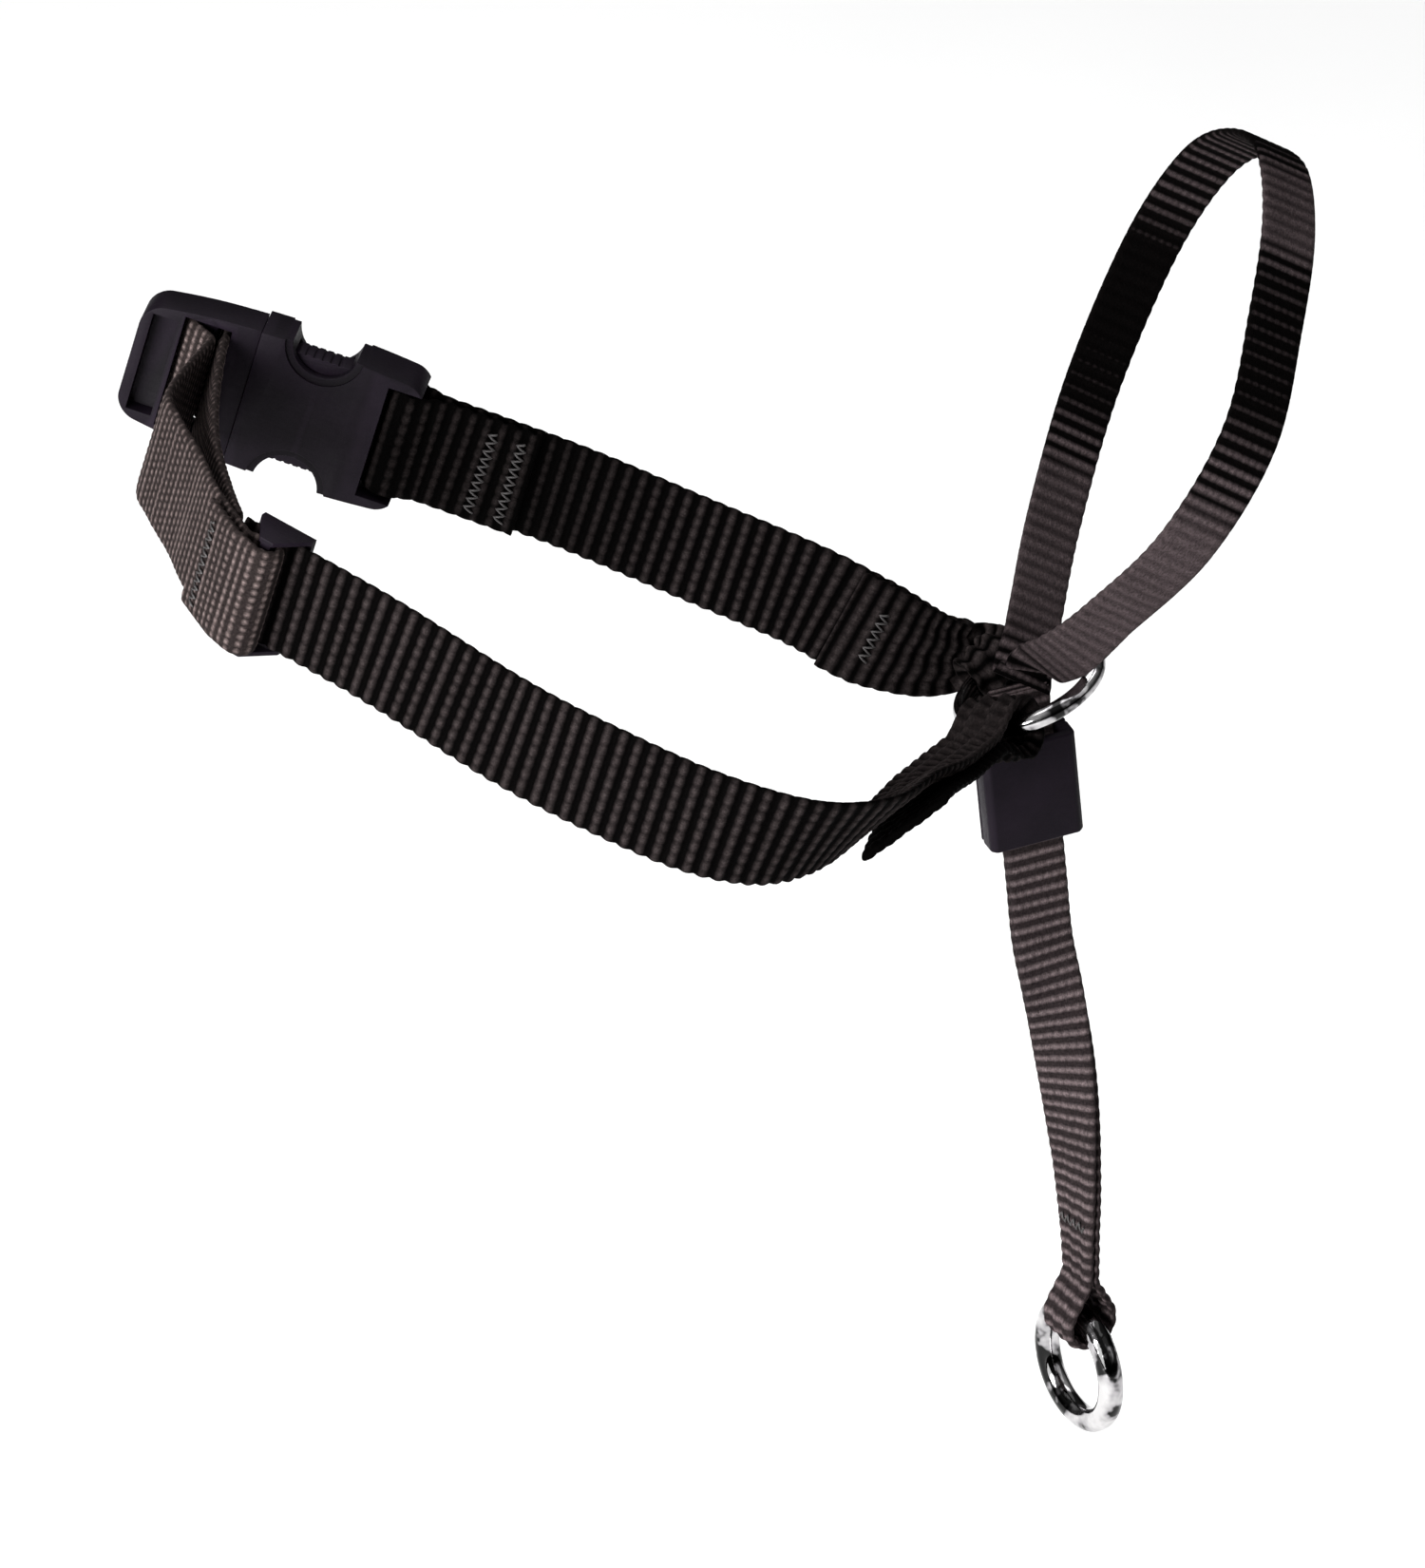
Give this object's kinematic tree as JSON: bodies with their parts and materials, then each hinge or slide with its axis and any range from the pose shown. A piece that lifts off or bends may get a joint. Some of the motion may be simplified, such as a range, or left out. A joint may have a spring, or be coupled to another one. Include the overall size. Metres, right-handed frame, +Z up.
{
  "type": "head halter",
  "caption": "Adjustable webbing head halter for a dog: neck loop with side-release buckle and slider, steel ring, sliding nose loop with clamp and leash ring.",
  "frame": {"origin": "middle of the neck opening, where the dog's neck is", "axes": "+X from the buckle towards the nose loop, +Y towards the far side of the neck, +Z up"},
  "size_m": [0.1906, 0.1232, 0.2225],
  "materials": {
    "webbing": "woven nylon, satin",
    "moulded_plastic": "matte moulded acetal",
    "ring_steel": "polished",
    "thread": "bonded nylon thread"
  },
  "bodies": {
    "neck_band": {"neck_strap_far": "webbing", "neck_strap_near": "webbing", "adjuster_strap": "webbing", "buckle_female_housing": "moulded_plastic", "bartack_buckle_first": "thread", "bartack_buckle_second": "thread", "bartack_far_ring": "thread", "bartack_near_ring": "thread"},
    "buckle_male": {"buckle_male_frame": "moulded_plastic"},
    "upper_arm": {"latch_arm_upper": "moulded_plastic"},
    "lower_arm": {"latch_arm_lower": "moulded_plastic"},
    "slider": {"strap_slider": "moulded_plastic", "bartack_slider": "thread"},
    "neck_ring": {"centre_ring": "ring_steel"},
    "nose_band": {"nose_loop": "webbing"},
    "tail": {"tail_front_ply": "webbing", "tail_back_ply": "webbing"},
    "clamp": {"clamp_body": "moulded_plastic"},
    "gate": {"clamp_gate": "moulded_plastic"},
    "tail_end": {"tail_lower": "webbing", "bartack_tail": "thread"},
    "hanging_ring": {"leash_ring": "ring_steel"}
  },
  "joints": [
    {"name": "buckle_release", "type": "slide", "parent": "neck_band", "child": "buckle_male", "axis": [-0.9473, 0.1544, 0.2805], "range_m": [0, 0.022], "deforming": ["adjuster_strap"]},
    {"name": "latch_arm_upper_press", "type": "hinge", "parent": "buckle_male", "child": "upper_arm", "pos_m": [-0.04819, 0.04997, 0.0225], "axis": [0.148, 0.988, -0.0438], "range_deg": [0, 7], "stiffness_Nm_per_rad": 0.4},
    {"name": "latch_arm_lower_press", "type": "hinge", "parent": "buckle_male", "child": "lower_arm", "pos_m": [-0.0525, 0.04997, 0.00792], "axis": [-0.148, -0.988, 0.0438], "range_deg": [0, 7], "stiffness_Nm_per_rad": 0.4},
    {"name": "slider_adjust", "type": "slide", "parent": "neck_band", "child": "slider", "axis": [0.8346, -0.4923, -0.2471], "range_m": [0, 0.02], "deforming": ["adjuster_strap"]},
    {"name": "centre_ring_spin", "type": "hinge", "parent": "neck_band", "child": "neck_ring", "pos_m": [0.075, 0.018, -0.022], "axis": [-0.38, 0, 0.925], "continuous": true},
    {"name": "nose_loop_tilt", "type": "hinge", "parent": "neck_band", "child": "nose_band", "pos_m": [0.075, 0.018, -0.022], "axis": [0.9403, 0.327, 0.094], "range_deg": [-15, 15], "stiffness_Nm_per_rad": 0.08},
    {"name": "nose_line_pull", "type": "slide", "parent": "neck_band", "child": "tail", "axis": [0.0995, 0, -0.995], "range_m": [0, 0.03], "deforming": ["nose_loop"]},
    {"name": "clamp_adjust", "type": "slide", "parent": "tail", "child": "clamp", "axis": [0.0995, 0, -0.995], "range_m": [0, 0.018]},
    {"name": "clamp_gate_open", "type": "hinge", "parent": "clamp", "child": "gate", "pos_m": [0.06763, 0.01767, -0.04065], "axis": [-0.0995, 0, 0.995], "range_deg": [0, 95]},
    {"name": "tail_swing", "type": "hinge", "parent": "tail", "child": "tail_end", "pos_m": [0.07788, 0.018, -0.06877], "axis": [0.9403, 0.327, 0.094], "range_deg": [-35, 35], "stiffness_Nm_per_rad": 0.02},
    {"name": "leash_ring_swing", "type": "hinge", "parent": "tail_end", "child": "hanging_ring", "pos_m": [0.0854, 0.018, -0.1413], "axis": [0.5114, -0.8593, 0], "range_deg": [-60, 60]}
  ],
  "couplings": [
    {"joint": "latch_arm_lower_press", "follows": "latch_arm_upper_press", "ratio": 1}
  ]
}
